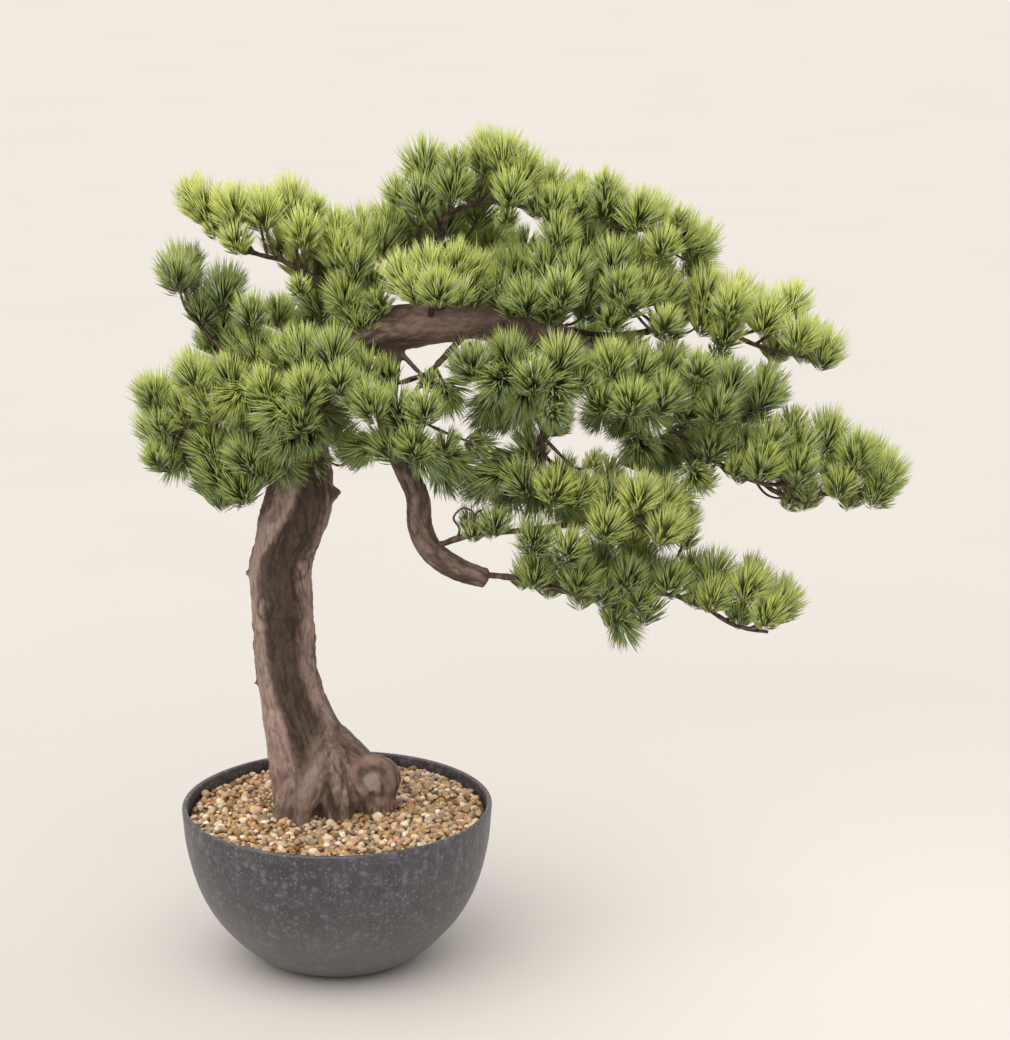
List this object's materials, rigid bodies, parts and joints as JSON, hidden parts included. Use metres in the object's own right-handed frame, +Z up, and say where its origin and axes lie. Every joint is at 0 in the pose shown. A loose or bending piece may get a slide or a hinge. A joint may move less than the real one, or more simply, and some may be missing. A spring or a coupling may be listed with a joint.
{
  "type": "pine bonsai",
  "caption": "Windswept pine bonsai with a leaning fluted trunk, layered needle pads on plugged-in sprays and a gravel-topped round bowl.",
  "frame": {"origin": "centre of the bowl's foot, on the surface that it stands on", "axes": "+Z up the tree; +X to the side that the crown leans to; -Y is the front seen in the picture"},
  "size_m": [0.5302, 0.2491, 0.5868],
  "materials": {
    "pot": "matte",
    "planting_block": "matte",
    "gravel": "matte",
    "bark": "matte",
    "twig": "matte",
    "needles": "satin"
  },
  "bodies": {
    "root": {"pot": "pot", "planting_block": "planting_block", "gravel": "gravel", "trunk": "bark", "twigs_apex": "twig", "needles_apex": "needles", "twigs_upper_left": "twig", "needles_upper_left": "needles", "twigs_left_small": "twig", "needles_left_small": "needles", "twigs_upper_right": "twig", "needles_upper_right": "needles", "twigs_right_high": "twig", "needles_right_high": "needles", "twigs_far_right": "twig", "needles_far_right": "needles", "twigs_left_tip": "twig", "needles_left_tip": "needles", "twigs_left_low": "twig", "needles_left_low": "needles", "twigs_left_high": "twig", "needles_left_high": "needles", "twigs_left_inner": "twig", "needles_left_inner": "needles", "twigs_upper_mid": "twig", "needles_upper_mid": "needles", "twigs_upper_front": "twig", "needles_upper_front": "needles", "twigs_mid_high": "twig", "needles_mid_high": "needles", "twigs_mid_high_right": "twig", "needles_mid_high_right": "needles", "twigs_mid_left": "twig", "needles_mid_left": "needles", "twigs_mid_right": "twig", "needles_mid_right": "needles", "twigs_right_mid": "twig", "needles_right_mid": "needles", "twigs_right_low": "twig", "needles_right_low": "needles", "twigs_low_mid": "twig", "needles_low_mid": "needles", "twigs_low_front": "twig", "needles_low_front": "needles", "twigs_low_long": "twig", "needles_low_long": "needles", "twigs_front_left": "twig", "needles_front_left": "needles", "twigs_back_left": "twig", "needles_back_left": "needles", "twigs_back_top": "twig", "needles_back_top": "needles", "twigs_back_mid": "twig", "needles_back_mid": "needles", "twigs_back_right": "twig", "needles_back_right": "needles", "twigs_back_low": "twig", "needles_back_low": "needles", "twigs_back_left_low": "twig", "needles_back_left_low": "needles"}
  },
  "joints": []
}
